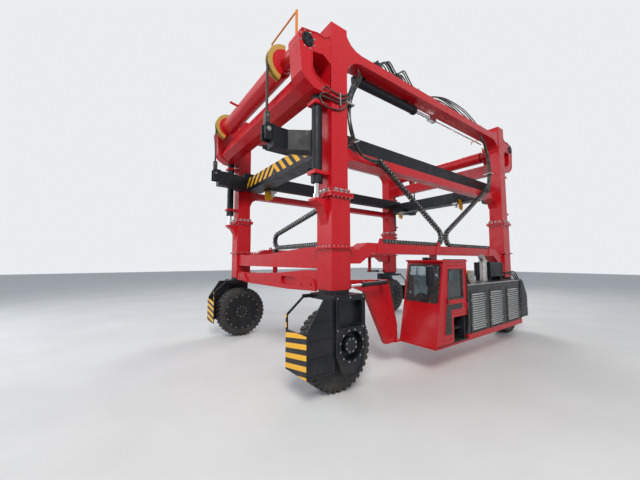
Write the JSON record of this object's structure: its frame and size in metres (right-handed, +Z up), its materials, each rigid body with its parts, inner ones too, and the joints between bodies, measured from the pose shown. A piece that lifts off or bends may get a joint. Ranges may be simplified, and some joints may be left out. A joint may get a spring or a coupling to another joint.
{
  "type": "container handler",
  "caption": "Four wheeled gantry straddle carrier with telescopic columns, chain hung lifting frame, side cab and engine pod.",
  "frame": {"origin": "on the ground, midway between the four steering axes", "axes": "+X forward, the way the cab faces; +Y left, the cab side; +Z up"},
  "size_m": [9, 5.774, 6.6546],
  "materials": {
    "red_paint": "gloss",
    "black_paint": "satin",
    "hood_grey": "satin",
    "tyre_black": "matt",
    "chrome": "polished",
    "glass": "clear",
    "amber": "matt",
    "steel": "brushed",
    "chain_steel": "oiled",
    "link_black": "matt",
    "seat_black": "matt",
    "filter_tan": "matt",
    "rod_orange": "satin",
    "quadrant_paint": "satin"
  },
  "bodies": {
    "chassis": {"column_sockets": "red_paint", "side_ties": "red_paint", "front_cross_beam": "red_paint", "front_axle_beam": "red_paint", "pod_frame": "red_paint", "cab_shell": "red_paint", "cab_roof": "red_paint", "cab_glass": "glass", "cab_interior": "seat_black", "cab_steps": "black_paint", "engine_hood": "hood_grey", "engine_block": "black_paint", "exhaust_pipe": "steel", "cooler_box": "black_paint", "air_filter": "filter_tan", "lift_rods": "chrome", "cross_energy_chain": "link_black"},
    "door": {"cab_door": "red_paint", "door_glass": "glass"},
    "upper_frame": {"upper_columns": "red_paint", "column_heads": "red_paint", "top_side_beams": "red_paint", "mid_side_beams": "red_paint", "end_box_beams": "red_paint", "lift_barrels": "black_paint", "hoist_barrels": "black_paint", "side_energy_chains": "link_black", "sensor_rods": "rod_orange", "shaft_caps": "black_paint"},
    "front_tube": {"front_torque_tube": "red_paint", "front_quadrants": "quadrant_paint"},
    "rear_tube": {"rear_torque_tube": "red_paint", "rear_quadrants": "quadrant_paint"},
    "lifting_frame": {"hoist_side_beams": "black_paint", "hoist_end_beams": "black_paint", "twist_locks": "steel", "guide_flaps": "amber", "leaf_chains": "chain_steel"},
    "hoist_rod_pair": {"hoist_rods": "chrome"},
    "steer_front_left": {"head_front_left": "black_paint"},
    "wheel_front_left": {"tyre_front_left": "tyre_black", "rim_front_left": "black_paint"},
    "steer_front_right": {"head_front_right": "black_paint"},
    "wheel_front_right": {"tyre_front_right": "tyre_black", "rim_front_right": "black_paint"},
    "steer_rear_left": {"head_rear_left": "black_paint"},
    "wheel_rear_left": {"tyre_rear_left": "tyre_black", "rim_rear_left": "black_paint"},
    "steer_rear_right": {"head_rear_right": "black_paint"},
    "wheel_rear_right": {"tyre_rear_right": "tyre_black", "rim_rear_right": "black_paint"}
  },
  "joints": [
    {"name": "frame_lift", "type": "slide", "parent": "chassis", "child": "upper_frame", "axis": [0, 0, 1], "range_m": [0, 1.2], "deforming": ["side_energy_chains"]},
    {"name": "lifting_frame_hoist", "type": "slide", "parent": "upper_frame", "child": "lifting_frame", "axis": [0, 0, 1], "range_m": [-0.5, 0.4], "deforming": ["leaf_chains"]},
    {"name": "front_tube_turn", "type": "hinge", "parent": "upper_frame", "child": "front_tube", "pos_m": [4.09, 0, 5.93], "axis": [0, 1, 0], "range_deg": [-68, 85]},
    {"name": "rear_tube_turn", "type": "hinge", "parent": "upper_frame", "child": "rear_tube", "pos_m": [-4.09, 0, 5.93], "axis": [0, 1, 0], "range_deg": [-85, 68]},
    {"name": "hoist_rod_slide", "type": "slide", "parent": "upper_frame", "child": "hoist_rod_pair", "axis": [1, 0, 0], "range_m": [-0.26, 0.21]},
    {"name": "door_hinge", "type": "hinge", "parent": "chassis", "child": "door", "pos_m": [0.4, 3.063, 1.6], "axis": [0, 0, 1], "range_deg": [0, 100]},
    {"name": "steer_front_left", "type": "hinge", "parent": "chassis", "child": "steer_front_left", "pos_m": [3.41, 2.25, 0.7], "axis": [0, 0, 1], "range_deg": [-35, 35]},
    {"name": "roll_front_left", "type": "hinge", "parent": "steer_front_left", "child": "wheel_front_left", "pos_m": [3.41, 2.25, 0.7], "axis": [0, 1, 0], "continuous": true},
    {"name": "steer_front_right", "type": "hinge", "parent": "chassis", "child": "steer_front_right", "pos_m": [3.41, -2.25, 0.7], "axis": [0, 0, 1], "range_deg": [-35, 35]},
    {"name": "roll_front_right", "type": "hinge", "parent": "steer_front_right", "child": "wheel_front_right", "pos_m": [3.41, -2.25, 0.7], "axis": [0, 1, 0], "continuous": true},
    {"name": "steer_rear_left", "type": "hinge", "parent": "chassis", "child": "steer_rear_left", "pos_m": [-3.41, 2.25, 0.7], "axis": [0, 0, 1], "range_deg": [-35, 35]},
    {"name": "roll_rear_left", "type": "hinge", "parent": "steer_rear_left", "child": "wheel_rear_left", "pos_m": [-3.41, 2.25, 0.7], "axis": [0, 1, 0], "continuous": true},
    {"name": "steer_rear_right", "type": "hinge", "parent": "chassis", "child": "steer_rear_right", "pos_m": [-3.41, -2.25, 0.7], "axis": [0, 0, 1], "range_deg": [-35, 35]},
    {"name": "roll_rear_right", "type": "hinge", "parent": "steer_rear_right", "child": "wheel_rear_right", "pos_m": [-3.41, -2.25, 0.7], "axis": [0, 1, 0], "continuous": true}
  ],
  "couplings": [
    {"joint": "front_tube_turn", "follows": "lifting_frame_hoist", "rad_per_m": -2.9155},
    {"joint": "rear_tube_turn", "follows": "lifting_frame_hoist", "rad_per_m": 2.9155},
    {"joint": "hoist_rod_slide", "follows": "lifting_frame_hoist", "ratio": 0.5}
  ]
}
